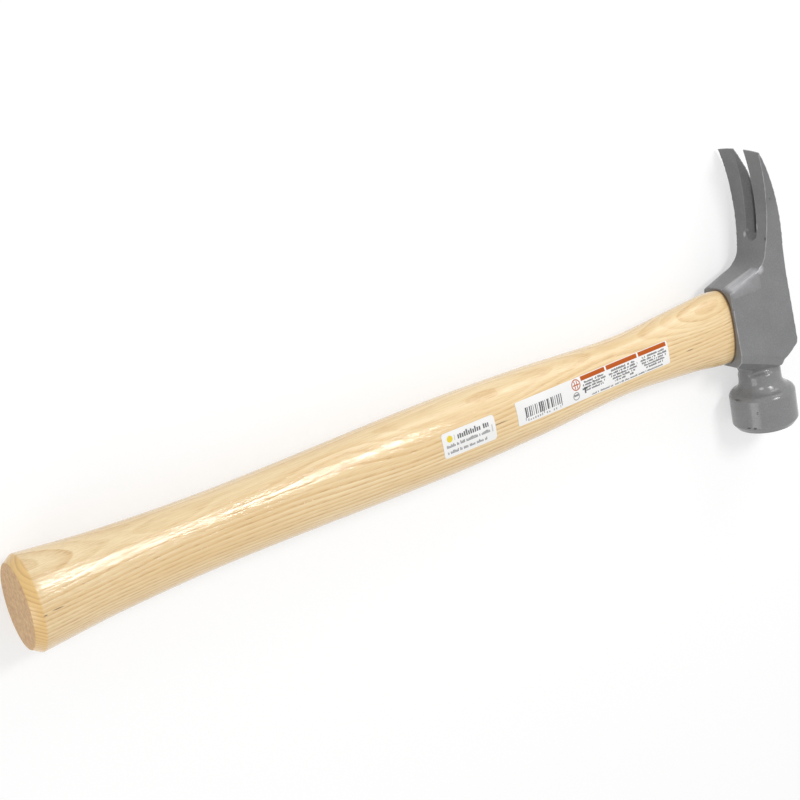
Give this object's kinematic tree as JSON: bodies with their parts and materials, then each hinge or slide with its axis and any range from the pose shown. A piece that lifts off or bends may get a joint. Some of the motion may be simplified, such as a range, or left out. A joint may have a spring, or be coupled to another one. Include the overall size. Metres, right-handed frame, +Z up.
{
  "type": "claw hammer",
  "caption": "Straight-claw framing hammer: forged head with a round poll, wedged on an oval wooden handle that flares at the butt.",
  "frame": {"origin": "under the middle of the hammer's box, on the surface that it lies on", "axes": "+X from the butt to the top of the head, +Y towards the claw tips, +Z up, square to the cheeks"},
  "size_m": [0.457, 0.1544, 0.0364],
  "materials": {
    "head_enamel": "grey enamel on forged steel, satin gloss",
    "handle_wood": "pale hardwood with straight grain under gloss lacquer",
    "wedge_wood": "plain hardwood, sawn flush",
    "wedge_steel": "plain mild steel, lightly rusted",
    "label_film": "white printed film"
  },
  "bodies": {
    "root": {"hammer_head": "head_enamel", "handle": "handle_wood", "wood_wedge": "wedge_wood", "steel_wedge_upper": "wedge_steel", "steel_wedge_lower": "wedge_steel", "long_label": "label_film", "small_label": "label_film"}
  },
  "joints": []
}
